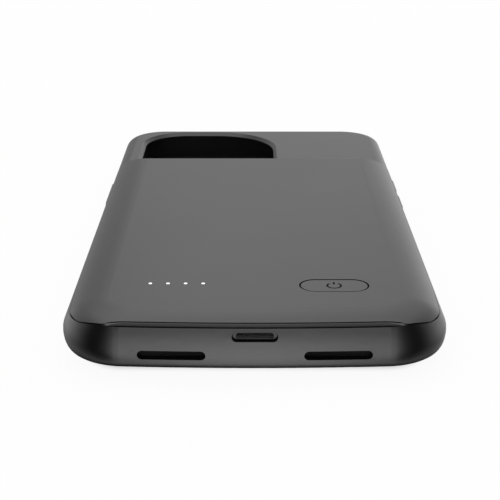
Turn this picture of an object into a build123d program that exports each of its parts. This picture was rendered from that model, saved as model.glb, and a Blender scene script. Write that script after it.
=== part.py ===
from build123d import *
import math
import os

# Slim battery charging case for a phone: a soft bumper frame, a battery box on its back and a chin with
# the sockets. Millimetres. X runs across the case, Y from the charging end to the camera end, and Z from
# the screen side up to the back. The origin is under the middle of the case, on the plane of the front lip.

# The phone that the case is made for
phone_width = 71.5
phone_length = 146.7
phone_depth = 7.65
phone_corner_radius = 10.5
phone_fit = 0.1

# Bumper frame
side_wall = 2.65
far_wall = 2.1
chin_length = 9.1
lip_depth = 0.9
lip_overlap = 1.6
widest_height = 6.0
side_underside = 2.5
chin_underside = 8.8
underside_steps = 6
chin_shoulder = 4.6
chin_rise = 7.2
upper_steps = 5
bow_radius = 450.0
flat_corner_near = 3.8
flat_corner_far = 2.4
end_plate = 1.25
end_shoulder = 3.5

# Back cover and the room under it
tray_plate = 0.8
room_height = 2.15
cover_wall = 1.0
cover_side_wall = 1.2
shoulder_width = 9.3
room_shoulder = 6.8
cover_reach = 2.4
cover_corner_growth = 1.4
end_section = 41.6
step_lean = 1.6
step_round = 1.2

# Seam between the cover and the frame, the facet above it and the fine groove along the facet's crease
seam_below_top = 1.95
seam_level_length = 3.0
seam_drop = 0.75
seam_drop_length = 2.6
seam_fall_length = 20.0
seam_round = 4.0
seam_gap = 0.3
seam_depth = 0.5
facet_angle = 60.0
crease_distance = 1.6
crease_gap = 0.3
crease_depth = 0.3

# Camera opening
camera_left = 32.0
camera_right = 5.9
camera_near_margin = 3.4
camera_far_margin = 5.1
camera_near_corner = 4.5
camera_corner = 12.0
camera_wide_corner = 17.0
camera_bevel = 0.9

# Chin openings
chin_rear_wall = 1.5
port_width = 8.9
port_height = 1.8
vent_width = 13.2
vent_height = 2.0
vent_offset = 16.05
vent_level = 5.3
mesh_distance = 2.4
mesh_thickness = 0.3

# Boards and electronics
board_thickness = 0.6
fit = 0.1
main_board_margin = 4.7
main_board_length = 15.4
main_board_setback = 0.7
main_board_corner = 1.5
controller_size = (4.0, 4.0, 0.8)
controller_place = (19.0, -4.0)
converter_size = (3.0, 3.0, 0.8)
converter_place = (13.0, -4.0)
inductor_size = (5.0, 5.0, 1.4)
inductor_place = (6.5, -3.8)
capacitor_size = (1.6, 0.8, 0.8)
capacitor_place = (24.0, 3.0)
capacitor_pitch = (2.4, 1.6)
capacitor_columns = 3
capacitor_rows = 2
port_board_width = 16.4
port_board_length = 4.4
port_board_level = 7.4
socket_width = 9.6
socket_height = 2.2
socket_mouth_width = 7.1
socket_mouth_height = 1.0
socket_nose_distance = 1.2
socket_nose_gap = 0.2
socket_mouth_chamfer = 0.12
socket_back = 0.7
contact_count = 8
contact_pitch = 0.62
contact_width = 0.32
contact_thickness = 0.12
contact_block_width = 5.6
contact_block_length = 0.6
contact_block_height = 0.6
contact_setback = 0.8
plug_width = 6.7
plug_thickness = 1.5
plug_length = 6.6
plug_chamfer = 0.35
plug_base_width = 8.8
plug_base_height = 3.8
plug_base_chamfer = 0.5
flex_width = 5.0
flex_thickness = 0.2
flex_landing = 1.6

# Battery
battery_side_margin = 4.75
battery_end_margin = 3.6
battery_thickness = 1.9
battery_corner = 1.5
tape_thickness = 0.1
tape_margin = 8.0
battery_gap = 2.6
guard_board_width = 30.0
guard_board_length = 1.8
lead_diameter = 0.7
lead_spacing = 7.0
lead_overlap = 1.2
tab_width = 4.0
tab_thickness = 0.15
tab_spacing = 20.0

# Power button, its switch and the charge lights
button_width = 13.6
button_depth = 6.2
button_offset = 16.2
button_distance = 18.6
button_gap = 0.35
button_flange = 0.8
button_flange_thickness = 0.4
button_stem = 2.2
button_travel = 0.25
button_sink = 0.05
switch_width = 3.4
switch_depth = 3.0
switch_height = 0.55
plunger_diameter = 1.4
plunger_gap = 0.15
light_count = 4
light_pitch = 3.6
light_offset = 15.9
light_distance = 19.7
light_diameter = 0.7
light_gap = 0.05
light_chip = (1.0, 0.6, 0.5)
guide_bar_depth = 1.6
guide_bar_height = 0.4

# Side buttons and the mute opening, placed from the far end as on the phone
pad_height = 4.2
pad_proud = 0.35
pad_chamfer = 0.25
pad_seat = 0.9
pad_travel = 0.4
pad_gap = 0.2
pad_stem_margin = 1.0
pad_flange_margin = 0.35
pad_flange_thickness = 0.45
pad_flange_seat = 0.7
side_pad_length = 19.6
side_pad_distance = 56.7
volume_pad_length = 12.0
volume_up_distance = 49.6
volume_down_distance = 63.9
mute_length = 8.4
mute_height = 5.0
mute_distance = 29.1

# Sizes that follow from the ones above
pocket_half = phone_width / 2 + phone_fit
half_width = pocket_half + side_wall
pocket_length = phone_length + 2 * phone_fit
case_length = chin_length + pocket_length + far_wall
front = -case_length / 2
far = case_length / 2
pocket_near = front + chin_length
pocket_far = pocket_near + pocket_length
pocket_corner = phone_corner_radius + phone_fit
pocket_top = lip_depth + phone_depth + phone_fit
phone_middle = lip_depth + phone_depth / 2
tray_top = pocket_top + tray_plate
roof = tray_top + room_height
top = roof + cover_wall
end_top = pocket_top + end_plate
corner_near = shoulder_width + flat_corner_near
corner_far = shoulder_width + flat_corner_far
step_foot = far - end_section
step_top = step_foot - step_lean
room_near = pocket_near - chin_rear_wall
room_far = step_top - cover_side_wall
seam_front = top - seam_below_top
board_top = tray_top + board_thickness
recess_near = room_near - port_board_length - 2 * fit
port_middle = port_board_level + board_thickness + socket_height / 2
socket_near = recess_near + fit
socket_end = socket_near + port_board_length - flex_landing
outer_light = light_offset + light_pitch * (light_count - 1) / 2
main_board_width = 2 * (outer_light + main_board_margin)
board_near = room_near + main_board_setback
board_middle = board_near + main_board_length / 2
battery_near = board_near + main_board_length + guard_board_length + battery_gap
battery_width = phone_width - 2 * battery_side_margin
battery_length = room_far - battery_end_margin - battery_near


def outline(inset, level, near_inset=None, reach=0.0, growth=0.0):
    """Case in plan, drawn in from the outside by inset: a slightly bowed charging end and straight sides.

    Reach moves the charging end outwards, and growth is added to the radius of its corners.
    """
    bow = bow_radius - (inset if near_inset is None else near_inset)
    bow_middle = front - reach + bow_radius
    half = half_width - inset
    end = far - inset
    corner = bow_middle - math.sqrt(bow**2 - half**2)
    bowed = ThreePointArc((-half, corner), (0, bow_middle - bow), (half, corner))
    sides = Polyline((half, corner), (half, end), (-half, end), (-half, corner))
    plate = Pos(0, 0, level) * make_face([bowed, *sides.edges()])
    plate = fillet(plate.vertices().group_by(Axis.Y)[0], corner_near + growth - inset)
    return fillet(plate.vertices().group_by(Axis.Y)[-1], corner_far - inset)


def drawn_in(width, rise, level):
    """How far a quarter ellipse that stands on the widest line is drawn in at a level."""
    return width * (1 - math.sqrt(1 - ((level - widest_height) / rise) ** 2))


def pillow(inset, shoulder, crown, reach=0.0, growth=0.0):
    """Upper half of the case: a quarter ellipse carried round the outline, filled by a flat core."""
    path = outline(inset, widest_height, reach=reach, growth=growth).face().outer_wire()
    rise = crown - widest_height
    tangent = path % 0
    section = make_face(
        [
            EllipticalCenterArc((shoulder, 0), shoulder, rise, start_angle=90, arc_size=90),
            Line((0, 0), (shoulder, 0)),
            Line((shoulder, 0), (shoulder, rise)),
        ]
    )
    start = Plane(origin=path @ 0, x_dir=Vector(0, 0, 1).cross(tangent), z_dir=tangent)
    ring = sweep(start * section, path=path)
    core = outline(inset + shoulder, widest_height, reach=reach, growth=growth)
    return ring + extrude(core, rise)


def block(x_span, y_span, z_span):
    """Plain block between two corners, each span a low and a high value."""
    size = [high - low for low, high in (x_span, y_span, z_span)]
    middle = [(high + low) / 2 for low, high in (x_span, y_span, z_span)]
    return Pos(*middle) * Box(*size)


def slot_along_y(width, height, x, z, y_span):
    """Round-ended bar that runs along Y."""
    face = Plane.XZ.offset(-y_span[0]) * Pos(x, z) * SlotOverall(width, height)
    return extrude(face, -(y_span[1] - y_span[0]))


def slot_along_x(length, height, y, z, x_span):
    """Round-ended bar that runs along X."""
    face = Plane.YZ.offset(x_span[0]) * Pos(y, z) * SlotOverall(length, height)
    return extrude(face, x_span[1] - x_span[0])


def stadium(width, depth, x, y, z_span):
    """Round-ended plate that lies flat."""
    return extrude(Pos(x, y, z_span[0]) * SlotOverall(width, depth), z_span[1] - z_span[0])


def above_seam(lift=0.0):
    """Space above the seam, which is level over the chin, drops at the corner and falls along the sides."""
    ahead = front - cover_reach - 1
    bend = front + seam_level_length
    drop_end = bend + seam_drop_length
    level = seam_front + lift
    low = pocket_top + lift
    line = FilletPolyline(
        (ahead, level),
        (bend, level),
        (drop_end, level - seam_drop),
        (drop_end + seam_fall_length, low),
        (far + 1, low),
        radius=seam_round,
    )
    back = Polyline((far + 1, low), (far + 1, top + 1), (ahead, top + 1), (ahead, level))
    face = make_face([*line.edges(), *back.edges()])
    return extrude(Plane.YZ * face, 2 * half_width, both=True)


def frame_body():
    """Outside of the frame, from the lip up past the seam: the outline draws in along ellipses both ways.

    Below the widest line it draws in most of all under the chin, and above it the chin is the steeper part.
    """
    sections = []
    for step in range(underside_steps, 0, -1):
        turn = math.pi / 2 * step / underside_steps
        drawn = 1 - math.cos(turn)
        level = widest_height * (1 - math.sin(turn))
        sections.append(outline(side_underside * drawn, level, near_inset=chin_underside * drawn))
    for step in range(upper_steps + 1):
        level = widest_height + (seam_front + seam_gap - widest_height) * step / upper_steps
        side = drawn_in(shoulder_width, top - widest_height, level)
        sections.append(outline(side, level, near_inset=drawn_in(chin_shoulder, chin_rise, level)))
    return loft(sections)


def room():
    """Space under the cover, between the chin and the step."""
    space = pillow(cover_side_wall, room_shoulder, roof)
    return space & block((-half_width, half_width), (room_near, room_far), (pocket_top, top))


def phone_plate(inset, low, high):
    """The phone's outline as a plate, drawn in by inset."""
    face = RectangleRounded(2 * (pocket_half - inset), pocket_length - 2 * inset, pocket_corner - inset)
    return extrude(Pos(0, (pocket_near + pocket_far) / 2, low) * face, high - low)


def camera_outline(grow, level):
    """Camera opening in plan, with a wider corner towards the middle of the far end."""
    near = step_foot + camera_near_margin
    end = far - camera_far_margin
    size = (camera_right + camera_left + 2 * grow, end - near + 2 * grow)
    plate = Pos((camera_right - camera_left) / 2, (near + end) / 2, level) * Rectangle(*size)
    plate = fillet(plate.vertices().group_by(Axis.Y)[0], camera_near_corner + grow)
    plate = fillet(plate.vertices().group_by(Axis.Y)[-1].sort_by(Axis.X)[0], camera_corner + grow)
    return fillet(plate.vertices().group_by(Axis.Y)[-1].sort_by(Axis.X)[-1], camera_wide_corner + grow)


def camera_opening():
    """Camera opening in the end plate, with a bevel round its upper edge."""
    hole = extrude(camera_outline(0, pocket_top - 1), end_plate + 2)
    return hole + loft([camera_outline(0, end_top - camera_bevel), camera_outline(camera_bevel, end_top)])


def pad_sizes(length):
    """Sizes of a button pad's cap, stem and flange."""
    insets = (0.0, pad_stem_margin, pad_flange_margin)
    return [(length - 2 * inset, pad_height - 2 * inset) for inset in insets]


def pad_bars(side, distance, sizes, spans, gap=0.0):
    """Cap, stem and flange of a button pad as one solid, each a round-ended bar across the side wall."""
    bars = []
    for (long, tall), (low, high) in zip(sizes, spans):
        span = (low, high) if side > 0 else (-high, -low)
        bars.append(slot_along_x(long + 2 * gap, tall + 2 * gap, far - distance, phone_middle, span))
    return bars[0] + bars[1] + bars[2]


def pad_window(side, distance, length):
    """Stepped window in the side wall for a button pad."""
    outside = half_width + 1
    inside = pocket_half - 1
    spans = [(half_width - pad_seat, outside), (inside, outside), (inside, pocket_half + pad_flange_seat)]
    return pad_bars(side, distance, pad_sizes(length), spans, gap=pad_gap)


def button_pad(side, distance, length):
    """Button pad: a proud cap outside, a stem through the wall and a flange that keeps it in."""
    cap_back = half_width - pad_seat + pad_travel + fit
    flange_face = pocket_half + pad_flange_seat - fit / 2
    flange_back = flange_face - pad_flange_thickness
    spans = [(cap_back, half_width + pad_proud), (flange_back, cap_back), (flange_back, flange_face)]
    pad = pad_bars(side, distance, pad_sizes(length), spans)
    rim = pad.faces().sort_by(Axis.X)[-1 if side > 0 else 0].edges()
    return chamfer(rim, pad_chamfer)


def vent_slot(side, y_span):
    """Round-ended bar that fills a sound slot in the chin."""
    return slot_along_y(vent_width, vent_height, side * vent_offset, vent_level, y_span)


def bumper_frame():
    """Soft frame: side walls, front lip, chin and end plate in one moulding."""
    across_case = (-half_width - 1, half_width + 1)
    behind_step = block(across_case, (step_foot + 2 * seam_gap, far + 1), (widest_height, top))
    end_zone = block(across_case, (step_foot + seam_gap, far + 1), (widest_height, end_top))
    frame = frame_body() - above_seam() - behind_step
    frame += pillow(0, end_shoulder, end_top) & end_zone
    frame -= phone_plate(0, lip_depth, pocket_top)
    frame -= phone_plate(lip_overlap, -1, lip_depth)
    frame -= room()
    frame -= camera_opening()
    frame -= chin_cavity()
    for side in (-1, 1):
        frame -= vent_slot(side, (front - 1, pocket_near + 1))
    frame -= pad_window(-1, side_pad_distance, side_pad_length)
    frame -= pad_window(1, volume_up_distance, volume_pad_length)
    frame -= pad_window(1, volume_down_distance, volume_pad_length)
    mute_span = (pocket_half - 1, half_width + 1)
    frame -= slot_along_x(mute_length, mute_height, far - mute_distance, phone_middle, mute_span)
    return frame


def vent_mesh(side):
    """Fine sound mesh across a slot in the chin."""
    near = front + mesh_distance
    return vent_slot(side, (near, near + mesh_thickness))


def chin_cavity():
    """Stepped recess in the chin for the socket, its board and the plug, closed from above by the cover."""
    upper_half = port_board_width / 2 + fit
    lower_half = plug_base_width / 2 + fit
    floor = port_board_level - plug_base_height - fit
    upper = block((-upper_half, upper_half), (recess_near, room_near), (port_board_level, top))
    lower = block((-lower_half, lower_half), (recess_near, pocket_near + 1), (floor, port_board_level))
    mouth = slot_along_y(port_width, port_height, 0, port_middle, (front - 1, recess_near + 1))
    return upper + lower + mouth


def step_side():
    """Space on the battery side of the step, whose slope ends in a rounded crest."""
    ahead = front - cover_reach - 1
    points = [(ahead, 0), (step_foot, 0), (step_foot, end_top), (step_top, top), (ahead, top)]
    face = make_face(Polyline(points, close=True))
    crest = face.vertices().sort_by_distance((step_top, top, 0))[0]
    return extrude(Plane.YZ * fillet(crest, step_round), 2 * half_width, both=True)


def swung(points):
    """Profile in Y and Z that swings round the middle of the bowed end, over the whole width."""
    axis = Axis((0, front + bow_radius, 0), (0, 0, 1))
    swing = math.degrees(math.asin(half_width / bow_radius))
    face = (Plane.YZ * make_face(Polyline(points, close=True))).rotate(axis, -swing)
    return revolve(face, axis, 2 * swing)


def facet_cut(behind=0.0):
    """Space in front of the facet, which stands on the chin's edge."""
    rise = top - seam_front + 1
    foot = front + drawn_in(chin_shoulder, chin_rise, seam_front) + behind
    head = foot + rise / math.tan(math.radians(facet_angle))
    ahead = front - cover_reach - 1
    points = [(ahead, seam_front - 1), (foot, seam_front - 1), (foot, seam_front)]
    points += [(head, seam_front + rise), (ahead, seam_front + rise)]
    return swung(points)


def crease_groove():
    """Fine upright groove behind the facet's upper edge."""
    near = front + crease_distance
    return swung([(near, seam_front), (near + crease_gap, seam_front), (near + crease_gap, top), (near, top)])


def chin_relief():
    """Shallow hollow under the cover, over the socket and the flat flex behind it."""
    half = port_board_width / 2 + fit
    height = board_top + flex_thickness + fit
    return block((-half, half), (socket_near + seam_depth, room_near + 1), (pocket_top, height))


def cover_skin(inset, crown):
    """Outside of the cover, drawn in by inset: the shoulder's pillow, moved towards the charging end."""
    return pillow(inset, shoulder_width, crown, reach=cover_reach, growth=cover_corner_growth)


def back_cover():
    """Back cover: a pillow shell that meets the frame along the seam and ends in a sloped step."""
    cover = cover_skin(0, top) & above_seam() & step_side()
    cover -= room()
    cover -= facet_cut()
    seam_floor = cover_skin(seam_depth, top) - facet_cut(seam_depth)
    cover -= (above_seam() - above_seam(lift=seam_gap)) - seam_floor
    cover -= crease_groove() - cover_skin(crease_depth, top - crease_depth)
    cover -= chin_relief()
    window = (button_width + 2 * button_gap, button_depth + 2 * button_gap)
    cover -= stadium(*window, button_offset, front + button_distance, (roof - 1, top + 1))
    light_window = Cylinder(light_diameter / 2 + light_gap, 4 * cover_wall)
    for x in light_places():
        cover -= Pos(x, front + light_distance, top) * light_window
    return cover


def light_places():
    """Middle of each charge light across the case."""
    return [-outer_light + light_pitch * number for number in range(light_count)]


def inner_tray():
    """Hard tray between the phone and the battery, with a thin rim that sits on the side walls."""
    rim_thickness = tray_plate / 2
    near = room_near + fit
    end = room_far - fit
    space = pillow(cover_side_wall + fit, room_shoulder, roof)
    plate = space & block((-half_width, half_width), (near, end), (pocket_top, pocket_top + rim_thickness))
    inner_half = pocket_half - fit
    upper = block((-inner_half, inner_half), (near, end), (pocket_top + rim_thickness, tray_top))
    return plate + (upper & space)


def main_board():
    """Main board on the tray, behind the chin."""
    face = RectangleRounded(main_board_width, main_board_length, main_board_corner)
    return extrude(Pos(0, board_middle, tray_top) * face, board_thickness)


def on_board(x, y, size):
    """Small component that stands on the main board."""
    return Pos(x, y, board_top + size[2] / 2) * Box(*size)


def component(place, size):
    """Component at a place that is counted from the left end and the middle line of the main board."""
    return on_board(place[0] - main_board_width / 2, board_middle + place[1], size)


def capacitors():
    """Small block of capacitors in rows and columns."""
    chips = []
    for column in range(capacitor_columns):
        for row in range(capacitor_rows):
            x = capacitor_place[0] + column * capacitor_pitch[0]
            y = capacitor_place[1] + row * capacitor_pitch[1]
            chips.append(component((x, y), capacitor_size))
    return Compound(children=chips)


def port_board():
    """Small board in the chin: the charge socket stands on it and the phone plug hangs under it."""
    half = port_board_width / 2
    levels = (port_board_level, port_board_level + board_thickness)
    return block((-half, half), (socket_near, socket_near + port_board_length), levels)


def charge_socket():
    """Charge socket's shell: a round-ended can, with a nose that fills the mouth in the chin."""
    can = slot_along_y(socket_width, socket_height, 0, port_middle, (socket_near, socket_end))
    nose_near = front + socket_nose_distance
    nose_size = (port_width - 2 * socket_nose_gap, port_height - 2 * socket_nose_gap)
    can += slot_along_y(*nose_size, 0, port_middle, (nose_near, socket_near + fit))
    mouth_span = (front, socket_end - socket_back)
    can -= slot_along_y(socket_mouth_width, socket_mouth_height, 0, port_middle, mouth_span)
    return chamfer(can.faces().sort_by(Axis.Y)[0].inner_wires()[0].edges(), socket_mouth_chamfer)


def socket_contacts():
    """Contact block at the back of the socket, with a row of flat contacts along its floor."""
    back = socket_end - socket_back
    floor = port_middle - socket_mouth_height / 2
    half = contact_block_width / 2
    levels = (floor, floor + contact_block_height)
    contacts = block((-half, half), (back - contact_block_length, back), levels)
    for number in range(contact_count):
        x = (number - (contact_count - 1) / 2) * contact_pitch
        span = (x - contact_width / 2, x + contact_width / 2)
        reach = (socket_near + contact_setback, back - contact_block_length)
        contacts += block(span, reach, (floor, floor + contact_thickness))
    return contacts


def phone_plug_base():
    """Plug's base under the small board, through the wall into the phone pocket."""
    half = plug_base_width / 2
    levels = (port_board_level - plug_base_height, port_board_level)
    base = block((-half, half), (socket_near, pocket_near), levels)
    return chamfer(base.edges().filter_by(Axis.Y).group_by(Axis.Z)[0], plug_base_chamfer)


def phone_plug():
    """Flat round-edged plug that stands into the phone pocket, bevelled at its tip."""
    span = (pocket_near, pocket_near + plug_length)
    blade = slot_along_y(plug_width, plug_thickness, 0, phone_middle, span)
    return chamfer(blade.faces().sort_by(Axis.Y)[-1].edges(), plug_chamfer)


def flex_link():
    """Flat flex from the small board up to the main board."""
    half = flex_width / 2
    low = port_board_level + board_thickness
    near = room_near - flex_landing
    riser = room_near - 2 * fit
    foot = block((-half, half), (near, riser), (low, low + flex_thickness))
    rise = block((-half, half), (riser - flex_thickness, riser), (low, board_top + flex_thickness))
    end = board_near + flex_landing
    head = block((-half, half), (riser - flex_thickness, end), (board_top, board_top + flex_thickness))
    return foot + rise + head


def battery_cell():
    """Flat pouch cell."""
    face = RectangleRounded(battery_width, battery_length, battery_corner)
    place = Pos(0, battery_near + battery_length / 2, tray_top + tape_thickness)
    return extrude(place * face, battery_thickness)


def battery_tape():
    """Double-sided tape between the cell and the tray."""
    half = battery_width / 2 - tape_margin
    near = battery_near + tape_margin
    end = battery_near + battery_length - tape_margin
    return block((-half, half), (near, end), (tray_top, tray_top + tape_thickness))


def guard_board():
    """Protection board across the end of the cell."""
    half = guard_board_width / 2
    end = battery_near - battery_gap / 2
    return block((-half, half), (end - guard_board_length, end), (tray_top, board_top))


def cell_tabs():
    """Two flat tabs from the cell to the protection board."""
    near = battery_near - battery_gap / 2 - guard_board_length / 2
    tabs = []
    for x in (-tab_spacing / 2, tab_spacing / 2):
        span = (x - tab_width / 2, x + tab_width / 2)
        tabs.append(block(span, (near, battery_near), (board_top, board_top + tab_thickness)))
    return Compound(children=tabs)


def battery_lead(side):
    """Short lead from the protection board to the main board."""
    end = battery_near - battery_gap / 2 - guard_board_length + lead_overlap
    near = board_near + main_board_length - lead_overlap
    place = Pos(side * lead_spacing / 2, (near + end) / 2, board_top + lead_diameter / 2)
    return place * Rot(90, 0, 0) * Cylinder(lead_diameter / 2, end - near)


def power_switch():
    """Tact switch under the power button, with a well for its plunger."""
    place = (button_offset, front + button_distance)
    body = on_board(*place, (switch_width, switch_depth, switch_height))
    well = plunger_diameter / 2 + plunger_gap
    return body - Pos(*place, board_top + switch_height / 2) * Cylinder(well, switch_height)


def switch_plunger():
    """Plunger that the power button pushes into the switch."""
    low = board_top + switch_height - button_travel
    high = board_top + switch_height + button_travel
    place = Pos(button_offset, front + button_distance, (low + high) / 2)
    return place * Cylinder(plunger_diameter / 2, high - low)


def power_button():
    """Power button: a round-ended cap in the cover, a flange that keeps it in and a stem on the switch."""
    y = front + button_distance
    flange_high = roof - fit / 2
    flange_low = flange_high - button_flange_thickness
    flange_size = (button_width + 2 * button_flange, button_depth + 2 * button_flange)
    button = stadium(button_width, button_depth, button_offset, y, (flange_low, top - button_sink))
    button += stadium(*flange_size, button_offset, y, (flange_low, flange_high))
    stem_low = board_top + switch_height + button_travel
    stem = Cylinder(button_stem / 2, flange_low - stem_low)
    return button + Pos(button_offset, y, (stem_low + flange_low) / 2) * stem


def charge_lights():
    """Row of light chips on the main board."""
    y = front + light_distance
    return Compound(children=[on_board(x, y, light_chip) for x in light_places()])


def light_guide():
    """Clear light guide: a bar under the cover with a post up to each light window."""
    y = front + light_distance
    places = light_places()
    ends = (places[0] - light_diameter, places[-1] + light_diameter)
    guide = block(ends, (y - guide_bar_depth / 2, y + guide_bar_depth / 2), (roof - guide_bar_height, roof))
    low = board_top + light_chip[2] + fit
    for x in places:
        guide += Pos(x, y, (low + top) / 2) * Cylinder(light_diameter / 2, top - low)
    return guide


def main():
    """Write one file for each piece."""
    os.makedirs("parts", exist_ok=True)
    pieces = {
        "bumper_frame": bumper_frame(),
        "back_cover": back_cover(),
        "inner_tray": inner_tray(),
        "main_board": main_board(),
        "charge_controller": component(controller_place, controller_size),
        "boost_converter": component(converter_place, converter_size),
        "boost_inductor": component(inductor_place, inductor_size),
        "capacitors": capacitors(),
        "port_board": port_board(),
        "charge_socket": charge_socket(),
        "socket_contacts": socket_contacts(),
        "vent_mesh_left": vent_mesh(-1),
        "vent_mesh_right": vent_mesh(1),
        "phone_plug_base": phone_plug_base(),
        "phone_plug": phone_plug(),
        "flex_link": flex_link(),
        "battery_cell": battery_cell(),
        "battery_tape": battery_tape(),
        "guard_board": guard_board(),
        "cell_tabs": cell_tabs(),
        "battery_lead_positive": battery_lead(1),
        "battery_lead_negative": battery_lead(-1),
        "power_switch": power_switch(),
        "switch_plunger": switch_plunger(),
        "power_button": power_button(),
        "charge_lights": charge_lights(),
        "light_guide": light_guide(),
        "side_button": button_pad(-1, side_pad_distance, side_pad_length),
        "volume_up_button": button_pad(1, volume_up_distance, volume_pad_length),
        "volume_down_button": button_pad(1, volume_down_distance, volume_pad_length),
    }
    for name, solid in pieces.items():
        export_step(solid, f"parts/{name}.step")


if __name__ == "__main__":
    main()
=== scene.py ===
import math

import bmesh
import bpy
import numpy as np
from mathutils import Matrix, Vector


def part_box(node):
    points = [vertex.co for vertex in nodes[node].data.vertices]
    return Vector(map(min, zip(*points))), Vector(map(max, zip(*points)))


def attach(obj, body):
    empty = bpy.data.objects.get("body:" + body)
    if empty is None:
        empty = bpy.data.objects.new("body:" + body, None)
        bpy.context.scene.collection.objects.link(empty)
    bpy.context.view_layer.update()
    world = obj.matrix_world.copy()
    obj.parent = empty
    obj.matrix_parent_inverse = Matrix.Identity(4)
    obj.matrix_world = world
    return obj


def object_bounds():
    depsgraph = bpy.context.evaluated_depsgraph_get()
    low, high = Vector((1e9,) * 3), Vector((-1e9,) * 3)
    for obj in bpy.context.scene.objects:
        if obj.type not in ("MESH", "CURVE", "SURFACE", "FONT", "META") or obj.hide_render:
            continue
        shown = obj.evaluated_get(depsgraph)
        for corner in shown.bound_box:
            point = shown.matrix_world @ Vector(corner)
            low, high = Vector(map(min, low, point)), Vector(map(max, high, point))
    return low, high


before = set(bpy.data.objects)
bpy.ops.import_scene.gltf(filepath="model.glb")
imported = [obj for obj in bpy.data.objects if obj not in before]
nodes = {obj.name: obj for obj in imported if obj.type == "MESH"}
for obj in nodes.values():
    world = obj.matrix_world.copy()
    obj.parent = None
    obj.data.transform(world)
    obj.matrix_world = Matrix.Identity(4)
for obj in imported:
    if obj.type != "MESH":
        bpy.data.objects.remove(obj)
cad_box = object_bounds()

# A slim battery charging case, lying screen side down on a white table. Sizes are metres in the part's frame:
# X across the case, Y from the charging end to the camera end, Z up to the back.
MM = 0.001

# Moulded plastic: the size of the patches that handling leaves, how far they change the gloss, the stretch of
# the noise that their tone runs over, and the index of refraction, matched to the case's strong satin sheen
HANDLED_PATCH = 28 * MM
GLOSS_DRIFT = 0.025
TONE_START = 0.3
TONE_STOP = 0.7
SATIN_IOR = 1.85

# Charge socket: how far in from its front the painted light on the inside starts, and where it is full
PAINTED_LIGHT_FROM = 0.1 * MM
PAINTED_LIGHT_FULL = 0.5 * MM

# Power sign on the button: the angle is in degrees, from the bar to each end of the arc
SIGN_RADIUS = 1.4 * MM
SIGN_HALF_OPENING = 42
SIGN_BAR_START = 0.85 * MM
SIGN_BAR_STOP = 1.75 * MM
SIGN_STROKE = 0.42 * MM
INK_FILM = 0.03 * MM
ARC_POINTS = 60
BAR_POINTS = 12
END_RINGS = 7
RING_POINTS = 16
POLE_MERGE = 0.0001 * MM

# Stage. The core box lies inside the case by its corner radius, so distances from it follow the case's
# outline. The table's glow and the shade under the case change between two such distances.
CORE_INSET = 13 * MM
TABLE_HALF = 3.0
TABLE_GLOW = 0.94
GLOW_FROM = 2 * MM
GLOW_FULL = 9 * MM
SHADE_FROM = 6.5 * MM
SHADE_GONE = 16.5 * MM
SHADE_MARGIN = 16 * MM
SHADE_DROP = 0.02 * MM

# Studio: the level that lights matt surfaces, how far the border between front and back leans forward with
# height, the power by which the dark cards widen with height, and how far aside they have their full darkness
FILL_LEVEL = 0.75
BORDER_LEAN = 0.4
CARD_WIDENING = 4.0
CARD_FULL = 0.62

# Camera at the photograph's viewing angle, in a square picture
PICTURE_PIXELS = 500
FOCAL_PIXELS = 1211.7
SENSOR_MM = 36.0
CAMERA_ASIDE = -0.933 * MM
CAMERA_BEFORE_CASE = 210.84 * MM
CAMERA_HEIGHT = 103.42 * MM
CAMERA_DOWN_DEGREES = 19.925

scene = bpy.context.scene
case_low, case_high = cad_box


def linear(hex_colour):
    """An sRGB hex colour as the linear red, green, blue and alpha that shaders read."""
    parts = np.array([int(hex_colour[place:place + 2], 16) for place in (1, 3, 5)]) / 255
    straight = np.where(parts <= 0.04045, parts / 12.92, ((parts + 0.055) / 1.055) ** 2.4)
    return (*straight.tolist(), 1.0)


def add(tree, kind, settings=None, links=None):
    """One node: settings go to its attributes or inputs, links join other nodes' outputs to its inputs."""
    node = tree.nodes.new(kind)
    for name, value in (settings or {}).items():
        if isinstance(name, str) and hasattr(node, name):
            setattr(node, name, value)
        else:
            node.inputs[name].default_value = value
    for name, source in (links or {}).items():
        tree.links.new(source, node.inputs[name])
    return node


def new_material(name):
    """An empty node material, with its tree and its output node."""
    material = bpy.data.materials.new(name)
    material.use_nodes = True
    tree = material.node_tree
    tree.nodes.clear()
    return material, tree, tree.nodes.new("ShaderNodeOutputMaterial")


def moulded_plastic(name, dark, light, roughness, spark_mm, depth_mm, **shader):
    """Moulded plastic: a spark-eroded grain in the height, and a slow drift of tone and gloss from handling.

    The grain is drawn coarser than the real one, which is too fine to show.
    """
    material, tree, out = new_material(name)
    place = add(tree, "ShaderNodeTexCoord").outputs["Object"]
    grain = add(tree, "ShaderNodeTexNoise", {"Scale": 1 / (spark_mm * MM), "Detail": 3.0}, {"Vector": place})
    drift = add(tree, "ShaderNodeTexNoise", {"Scale": 1 / HANDLED_PATCH, "Detail": 2.0}, {"Vector": place})
    tone = add(tree, "ShaderNodeValToRGB", links={"Fac": drift.outputs["Fac"]})
    tone.color_ramp.elements[0].position = TONE_START
    tone.color_ramp.elements[0].color = linear(dark)
    tone.color_ramp.elements[1].position = TONE_STOP
    tone.color_ramp.elements[1].color = linear(light)
    gloss = add(
        tree, "ShaderNodeMapRange", {"To Min": roughness - GLOSS_DRIFT, "To Max": roughness + GLOSS_DRIFT},
        {"Value": drift.outputs["Fac"]},
    )
    bump = add(
        tree, "ShaderNodeBump", {"Strength": 1.0, "Distance": depth_mm * MM}, {"Height": grain.outputs["Fac"]}
    )
    surface = add(
        tree, "ShaderNodeBsdfPrincipled", shader,
        {
            "Base Color": tone.outputs["Color"],
            "Roughness": gloss.outputs["Result"],
            "Normal": bump.outputs["Normal"],
        },
    )
    tree.links.new(surface.outputs["BSDF"], out.inputs["Surface"])
    return material


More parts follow.
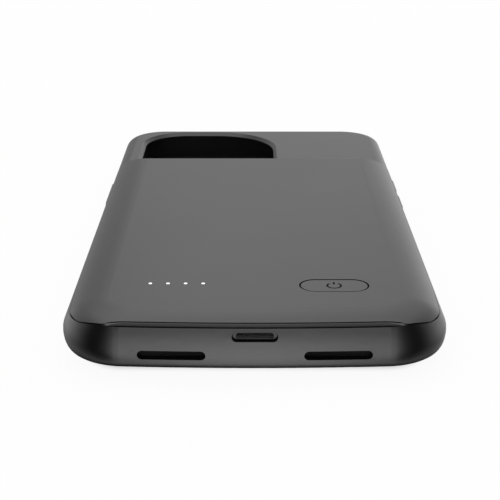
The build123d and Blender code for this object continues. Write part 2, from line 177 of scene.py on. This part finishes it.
def plain(name, colour, roughness, metallic=0.0, speck_mm=0.4, spread=0.06, **shader):
    """A small part's finish: one colour with a fine mottle, so that it doesn't read as paint."""
    material, tree, out = new_material(name)
    place = add(tree, "ShaderNodeTexCoord").outputs["Object"]
    speck = add(tree, "ShaderNodeTexNoise", {"Scale": 1 / (speck_mm * MM), "Detail": 2.0}, {"Vector": place})
    base = np.array(linear(colour)[:3])
    tone = add(tree, "ShaderNodeValToRGB", links={"Fac": speck.outputs["Fac"]})
    tone.color_ramp.elements[0].color = (*(base * (1 - spread)).tolist(), 1.0)
    tone.color_ramp.elements[1].color = (*np.minimum(base * (1 + spread), 1.0).tolist(), 1.0)
    surface = add(
        tree, "ShaderNodeBsdfPrincipled", {"Metallic": metallic, "Roughness": roughness, **shader},
        {"Base Color": tone.outputs["Color"]},
    )
    tree.links.new(surface.outputs["BSDF"], out.inputs["Surface"])
    return material


def dress(material, *names):
    """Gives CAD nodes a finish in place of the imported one."""
    for name in names:
        slots = nodes[name].data.materials
        slots.clear()
        slots.append(material)


# Hard cover: black PC/ABS from a finely spark-eroded mould. A broad soft highlight, nearly no grain at this
# distance.
cover_plastic = moulded_plastic(
    "satin_black_abs", "#050506", "#080809", roughness=0.32, spark_mm=0.22, depth_mm=0.002, IOR=SATIN_IOR
)
dress(cover_plastic, "back_cover", "power_button")

# Soft frame: black TPU with the same fine grain, slightly glossier, so its round edges catch the light.
frame_plastic = moulded_plastic(
    "satin_black_tpu", "#050506", "#080809", roughness=0.30, spark_mm=0.25, depth_mm=0.002, IOR=SATIN_IOR
)
dress(frame_plastic, "bumper_frame", "side_button", "volume_up_button", "volume_down_button")

# Inner tray: bare moulded polycarbonate, duller and a little greyer than the outside.
tray_plastic = moulded_plastic(
    "black_pc_tray", "#121213", "#161617", roughness=0.5, spark_mm=0.3, depth_mm=0.003
)
dress(tray_plastic, "inner_tray")

# Boards: glass fibre under solder mask, dark green with a soft shine.
dress(plain("green_solder_mask", "#1d4a2b", 0.35), "main_board", "port_board", "guard_board")
# Chip packages: moulded black epoxy, dull.
dress(plain("black_epoxy_package", "#1c1c1d", 0.5), "charge_controller", "boost_converter")
# Inductor: pressed ferrite, a dull dark grey whose grains show.
dress(plain("pressed_ferrite", "#3d3c3b", 0.65, speck_mm=0.3, spread=0.2), "boost_inductor")
# Capacitors: fired ceramic, tan with a slight shine.
dress(plain("fired_ceramic", "#9c7a55", 0.45), "capacitors")
# Switch can: stamped steel, bright and smooth.
dress(plain("stamped_steel", "#b9b9b6", 0.25, metallic=1.0), "power_switch")
# Contact block: moulded liquid crystal polymer, a dull mid grey.
dress(plain("grey_lcp_contact_block", "#565657", 0.5), "socket_contacts")
# Sound meshes: woven black thread, nearly black and matt. The weave is drawn coarser than it is, as a mottle.
sound_mesh = plain("woven_sound_mesh", "#040404", 0.8, speck_mm=0.35, spread=0.6)
dress(sound_mesh, "vent_mesh_left", "vent_mesh_right")
# Base of the plug: overmoulded black plastic, dull.
dress(plain("black_overmould", "#161617", 0.5), "phone_plug_base")
# Plug: a thin gold plating, pale and bright.
dress(plain("gold_plated_plug", "#cfc6b4", 0.22, metallic=1.0), "phone_plug")
# Flex: polyimide film, amber with a soft shine.
dress(plain("polyimide_film", "#a8702c", 0.35), "flex_link")
# Cell: embossed pouch foil, dull silver with a mottle as coarse as the embossing.
dress(plain("aluminium_pouch_foil", "#b4b6b8", 0.42, metallic=1.0, speck_mm=1.2), "battery_cell")
# Tape: adhesive film, off-white and matt.
dress(plain("adhesive_film", "#d9d8cf", 0.6), "battery_tape")
# Tabs: rolled nickel strip, a warm grey metal.
dress(plain("nickel_strip", "#b7b4ac", 0.35, metallic=1.0), "cell_tabs")
# Leads: soft extruded silicone, dull red and black.
dress(plain("red_silicone_lead", "#9a1f1c", 0.5), "battery_lead_positive")
dress(plain("black_silicone_lead", "#19191a", 0.5), "battery_lead_negative")
# Plunger: moulded plastic, dark grey and dull.
dress(plain("moulded_switch_plunger", "#2b2b2c", 0.5), "switch_plunger")
# Light chips: moulded white housings, warm white.
dress(plain("white_light_chip", "#e9e7d8", 0.4), "charge_lights")

# Charge socket's shell: steel with a satin black coat. Its colour is painted light and shade, darker at the
# front rim and lighter further in, so the mouth reads as a dark ring round a grey depth.
mouth_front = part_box("charge_socket")[0][1]
socket_shell, tree, out = new_material("black_coated_steel")
place = add(tree, "ShaderNodeTexCoord").outputs["Object"]
depth = add(tree, "ShaderNodeSeparateXYZ", links={0: place}).outputs["Y"]
# Painted light: the shell's colour grows lighter from the front rim inwards
painted_depth_light = add(
    tree, "ShaderNodeMapRange",
    {"From Min": mouth_front + PAINTED_LIGHT_FROM, "From Max": mouth_front + PAINTED_LIGHT_FULL}, {"Value": depth},
)
tone = add(tree, "ShaderNodeValToRGB", links={"Fac": painted_depth_light.outputs["Result"]})
tone.color_ramp.elements[0].color = linear("#303031")
tone.color_ramp.elements[1].color = linear("#707070")
surface = add(tree, "ShaderNodeBsdfPrincipled", {"Roughness": 0.25}, {"Base Color": tone.outputs["Color"]})
tree.links.new(surface.outputs["BSDF"], out.inputs["Surface"])
dress(socket_shell, "charge_socket")

# Lit light guide: clear acrylic that glows white from the chips under it, so the four windows are white dots.
white_glow = {"Emission Color": linear("#ffffff"), "Emission Strength": 1.0}
dress(plain("lit_acrylic_guide", "#f2f2f2", 0.2, **white_glow), "light_guide")


def surface_piece(name, grid, material, closed=False):
    """A mesh from a grid of points, one quad between four neighbours.

    A closed surface joins its last row to its first, and its end columns, which have shrunk to points, are
    merged, so that it is one skin whose faces point outwards.
    """
    rows, columns = grid.shape[:2]
    index = np.arange(rows * columns).reshape(rows, columns)
    if closed:
        index = np.vstack([index, index[:1]])
    corners = [index[:-1, :-1], index[:-1, 1:], index[1:, 1:], index[1:, :-1]]
    quads = np.stack(corners, axis=-1).reshape(-1, 4)
    mesh = bpy.data.meshes.new(name)
    mesh.from_pydata(grid.reshape(-1, 3).tolist(), [], quads.tolist())
    if closed:
        skin = bmesh.new()
        skin.from_mesh(mesh)
        bmesh.ops.remove_doubles(skin, verts=skin.verts, dist=POLE_MERGE)
        bmesh.ops.recalc_face_normals(skin, faces=skin.faces)
        skin.to_mesh(mesh)
        skin.free()
    mesh.shade_smooth()
    mesh.materials.append(material)
    piece = bpy.data.objects.new(name, mesh)
    scene.collection.objects.link(piece)
    return piece


def printed_stroke(name, path, top, material):
    """A printed stroke: a flat ellipse, a stroke wide and a film thick, carried along a path at height top.

    The path is complex numbers in the plane, X + iY. At each end the ellipse shrinks on a quarter circle to a
    point, so the stroke has round ends.
    """
    swell = np.sin(np.linspace(0, np.pi / 2, END_RINGS))
    reach = (1 - swell[:-1]) * SIGN_STROKE / 2
    before = path[0] + (path[0] - path[1]) / abs(path[0] - path[1]) * reach
    after = path[-1] + (path[-1] - path[-2]) / abs(path[-1] - path[-2]) * reach[::-1]
    line = np.concatenate([before, path, after])
    round_end = np.sqrt(1 - (1 - swell[:-1]) ** 2)
    size = np.concatenate([round_end, np.ones(len(path)), round_end[::-1]])
    side = np.gradient(line) / abs(np.gradient(line)) * 1j
    turn = np.linspace(0, 2 * np.pi, RING_POINTS, endpoint=False)[:, None]
    place = line + side * size * np.cos(turn) * SIGN_STROKE / 2
    height = top + size * np.sin(turn) * INK_FILM / 2
    return surface_piece(name, np.stack([place.real, place.imag, height], axis=-1), material, closed=True)


# Power sign: matt black ink, pad printed on the button. It takes no highlight, so it shows as the darkest
# thing there.
button_low, button_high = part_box("power_button")
button_middle = complex((button_low[0] + button_high[0]) / 2, (button_low[1] + button_high[1]) / 2)
sign_ink = plain("pad_print_ink", "#050505", 0.9, speck_mm=0.2, spread=0.3, IOR=1.3)
from_bar = np.linspace(SIGN_HALF_OPENING, 360 - SIGN_HALF_OPENING, ARC_POINTS)
open_arc = button_middle + SIGN_RADIUS * np.exp(1j * np.radians(90 + from_bar))
bar = button_middle + 1j * np.linspace(SIGN_BAR_START, SIGN_BAR_STOP, BAR_POINTS)
for name, path in (("power_sign_arc", open_arc), ("power_sign_bar", bar)):
    stroke_piece = printed_stroke(name, path, button_high[2], sign_ink)
    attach(stroke_piece, "power_button")


def clear_of_case(tree, start, stop):
    """How clear of the case a place on the table is: 0 up to start and 1 from stop, from the core box."""
    place = add(tree, "ShaderNodeTexCoord").outputs["Object"]
    low = (case_low[0] + CORE_INSET, case_low[1] + CORE_INSET, 0.0)
    high = (case_high[0] - CORE_INSET, case_high[1] - CORE_INSET, 0.0)
    nearest = place
    for limit, corner in (("MAXIMUM", low), ("MINIMUM", high)):
        clamp = add(tree, "ShaderNodeVectorMath", {"operation": limit, 1: corner}, {0: nearest})
        nearest = clamp.outputs["Vector"]
    away = add(tree, "ShaderNodeVectorMath", {"operation": "DISTANCE"}, {0: place, 1: nearest})
    fade = {"interpolation_type": "SMOOTHSTEP", "From Min": start, "From Max": stop}
    return add(tree, "ShaderNodeMapRange", fade, {"Value": away.outputs["Value"]}).outputs["Result"]


def flat_sheet(name, low, high, height, material):
    """A flat sheet: X and Y run from low to high, and Z is the height all over."""
    across, along = np.meshgrid([low[0], high[0]], [low[1], high[1]], indexing="ij")
    return surface_piece(name, np.stack([across, along, np.full_like(across, height)], axis=-1), material)


# White table: matte board that keeps a faint shadow and is dim under the case. Reflections look past it.
table, tree, out = new_material("white_table")
rays = add(tree, "ShaderNodeLightPath").outputs
seen = add(tree, "ShaderNodeMath", {"operation": "MULTIPLY", 1: TABLE_GLOW}, {0: rays["Is Camera Ray"]})
# Painted shade: the camera's glow fades out under the case, so the table looks dark there
share = add(
    tree, "ShaderNodeMath", {"operation": "MULTIPLY"},
    {0: seen.outputs[0], 1: clear_of_case(tree, GLOW_FROM, GLOW_FULL)},
)
board = add(tree, "ShaderNodeBsdfDiffuse", {"Color": linear("#f4f4f4")})
glow = add(tree, "ShaderNodeEmission", {"Color": linear("#ffffff"), "Strength": 1.0})
mix = add(
    tree, "ShaderNodeMixShader",
    links={0: share.outputs[0], 1: board.outputs["BSDF"], 2: glow.outputs["Emission"]},
)
tree.links.new(mix.outputs["Shader"], out.inputs["Surface"])
table_top = flat_sheet("table_top", (-TABLE_HALF, -TABLE_HALF), (TABLE_HALF, TABLE_HALF), 0.0, table)
table_top.visible_glossy = False

# Shaded table, which only reflections see: dark below the case, and clear a few millimetres out from it.
shade, tree, out = new_material("shaded_table")
dark = add(tree, "ShaderNodeBsdfDiffuse", {"Color": linear("#202020")})
gone = add(tree, "ShaderNodeBsdfTransparent")
mix = add(
    tree, "ShaderNodeMixShader",
    links={0: clear_of_case(tree, SHADE_FROM, SHADE_GONE), 1: dark.outputs["BSDF"], 2: gone.outputs["BSDF"]},
)
tree.links.new(mix.outputs["Shader"], out.inputs["Surface"])
shaded_low = (case_low[0] - SHADE_MARGIN, case_low[1] - SHADE_MARGIN)
shaded_high = (case_high[0] + SHADE_MARGIN, case_high[1] + SHADE_MARGIN)
shaded_top = flat_sheet("shaded_top", shaded_low, shaded_high, -SHADE_DROP, shade)
shaded_top.visible_camera = False
shaded_top.visible_diffuse = False
shaded_top.visible_transmission = False
shaded_top.visible_shadow = False

# White studio, which the camera sees as white all round. Reflections show it as it is lit: a wall in front
# that is brightest low down, a wall behind that grows brighter towards the overhead light, dark cards beside
# the front corners, and side walls that grow brighter from front to back.
world = bpy.data.worlds.new("white_studio")
scene.world = world
world.use_nodes = True
tree = world.node_tree
tree.nodes.clear()
way = add(tree, "ShaderNodeTexCoord").outputs["Generated"]
toward = add(tree, "ShaderNodeSeparateXYZ", links={0: way}).outputs
across, along, up = toward["X"], toward["Y"], toward["Z"]
aside = add(tree, "ShaderNodeMath", {"operation": "ABSOLUTE"}, {0: across}).outputs[0]
leaning = add(
    tree, "ShaderNodeMath", {"operation": "MULTIPLY_ADD", 1: BORDER_LEAN}, {0: up, 2: along}
).outputs[0]
steep = add(tree, "ShaderNodeMath", {"operation": "POWER", 1: CARD_WIDENING}, {0: up}).outputs[0]
fanned = add(tree, "ShaderNodeMath", {"operation": "MULTIPLY_ADD"}, {0: aside, 1: steep, 2: aside}).outputs[0]
card_edge = add(tree, "ShaderNodeMapRange", {"From Max": CARD_FULL}, {"Value": fanned}).outputs["Result"]

# Each step of light reads one direction, and goes smoothly from its first level at start to its second at
# stop.
lit = {"card_edge": card_edge}
for name, value, start, stop, first, second in (
    # Front or back, and how far round to the back
    ("behind", leaning, -0.2, 0.2, 0.0, 1.0),
    ("far_behind", along, 0.0, 0.5, 0.0, 1.0),
    # The walls in front and behind, from low to high, and the darker floor below the one behind
    ("front_wall", up, -0.35, 0.75, 1.88, 0.6),
    ("back_wall", up, -0.1, 0.8, 0.34, 1.27),
    ("floor", up, -0.7, -0.2, 0.3, 1.0),
    # Where the side walls start, and where they and the cards end overhead
    ("wall_edge", aside, 0.4, 0.65, 0.0, 1.0),
    ("card_top", up, 0.75, 0.95, 1.0, 0.0),
    # The side walls' level: at the foot, higher up, and from front to back
    ("wall_foot", up, -0.5, -0.1, 0.33, 0.95),
    ("wall_top", up, 0.1, 0.4, 1.0, 0.6),
    ("wall_start", along, -0.42, 0.55, 0.01, 1.0),
    # Changes to the wall behind: a dim strip at the left, and a bright low wall at the right
    ("left", across, -0.2, -0.05, 1.0, 0.0),
    ("left_foot", up, -0.05, 0.32, 0.22, -0.4),
    ("left_top", up, 0.45, 0.95, 1.0, 0.0),
    ("right", across, 0.0, 0.15, 0.0, 1.0),
    ("right_wall", up, -0.1, 0.36, 1.85, -0.26),
):
    steps = {"From Min": start, "From Max": stop, "To Min": first, "To Max": second}
    smooth = {"interpolation_type": "SMOOTHSTEP", **steps}
    lit[name] = add(tree, "ShaderNodeMapRange", smooth, {"Value": value}).outputs["Result"]
for name, first, *others in (
    ("back_wall", "back_wall", "floor"),
    ("left_change", "left", "left_foot", "left_top", "far_behind"),
    ("right_change", "right", "right_wall", "far_behind"),
    ("side_wall", "wall_foot", "wall_top", "wall_start"),
):
    product = lit[first]
    for other in others:
        times = add(tree, "ShaderNodeMath", {"operation": "MULTIPLY"}, {0: product, 1: lit[other]})
        product = times.outputs[0]
    lit[name] = product
for name in ("left_change", "right_change"):
    lit["back_wall"] = add(
        tree, "ShaderNodeMath", {"operation": "MULTIPLY_ADD"},
        {0: lit[name], 1: lit["back_wall"], 2: lit["back_wall"]},
    ).outputs[0]
for name, first, second in (("side", "card_edge", "wall_edge"), ("level", "front_wall", "back_wall")):
    lit[name] = add(
        tree, "ShaderNodeMix", {"data_type": "FLOAT"}, {0: lit["behind"], 2: lit[first], 3: lit[second]}
    ).outputs[0]
side = add(tree, "ShaderNodeMath", {"operation": "MULTIPLY"}, {0: lit["side"], 1: lit["card_top"]}).outputs[0]
level = add(
    tree, "ShaderNodeMix", {"data_type": "FLOAT"}, {0: side, 2: lit["level"], 3: lit["side_wall"]}
).outputs[0]

# The camera sees white, matt surfaces get the fill level, and gloss and glass see the studio.
rays = add(tree, "ShaderNodeLightPath").outputs
bare = add(
    tree, "ShaderNodeMath", {"operation": "MULTIPLY_ADD", 1: 1 - FILL_LEVEL, 2: FILL_LEVEL},
    {0: rays["Is Camera Ray"]},
).outputs[0]
shown = add(
    tree, "ShaderNodeMath", {"operation": "MAXIMUM"},
    {0: rays["Is Glossy Ray"], 1: rays["Is Transmission Ray"]},
).outputs[0]
strength = add(tree, "ShaderNodeMix", {"data_type": "FLOAT"}, {0: shown, 2: bare, 3: level}).outputs[0]
sky = add(tree, "ShaderNodeBackground", {"Color": linear("#ffffff")}, {"Strength": strength})
add(tree, "ShaderNodeOutputWorld", links={"Surface": sky.outputs["Background"]})


def soft_box(name, place, width, height, radiance):
    """A soft box: an area lamp whose face has the given radiance, pointed at the frame's origin."""
    lamp = bpy.data.lights.new(name, "AREA")
    lamp.shape = "RECTANGLE"
    lamp.size = width
    lamp.size_y = height
    lamp.energy = radiance * math.pi * width * height
    box = bpy.data.objects.new(name, lamp)
    yaw = math.atan2(place[0], -place[1])
    tilt = math.atan2(math.hypot(place[0], place[1]), place[2])
    box.location = place
    box.rotation_euler = (tilt, 0, yaw)
    box.visible_camera = False
    box.visible_glossy = False
    scene.collection.objects.link(box)


# Two soft boxes, one overhead and one behind at the right, which light matt surfaces and don't show in gloss
soft_box("overhead_box", place=(0, 0.25, 1.0), width=1.0, height=0.7, radiance=1.2)
soft_box("right_wall_box", place=(0.7, 1.2, 0.25), width=0.6, height=0.6, radiance=1.2)

lens = bpy.data.cameras.new("camera")
lens.sensor_width = SENSOR_MM
lens.lens = FOCAL_PIXELS / PICTURE_PIXELS * SENSOR_MM
camera = bpy.data.objects.new("camera", lens)
camera.location = (CAMERA_ASIDE, case_low[1] - CAMERA_BEFORE_CASE, CAMERA_HEIGHT)
camera.rotation_euler = (math.radians(90 - CAMERA_DOWN_DEGREES), 0, 0)
scene.collection.objects.link(camera)
scene.camera = camera

scene.view_settings.view_transform = "Standard"
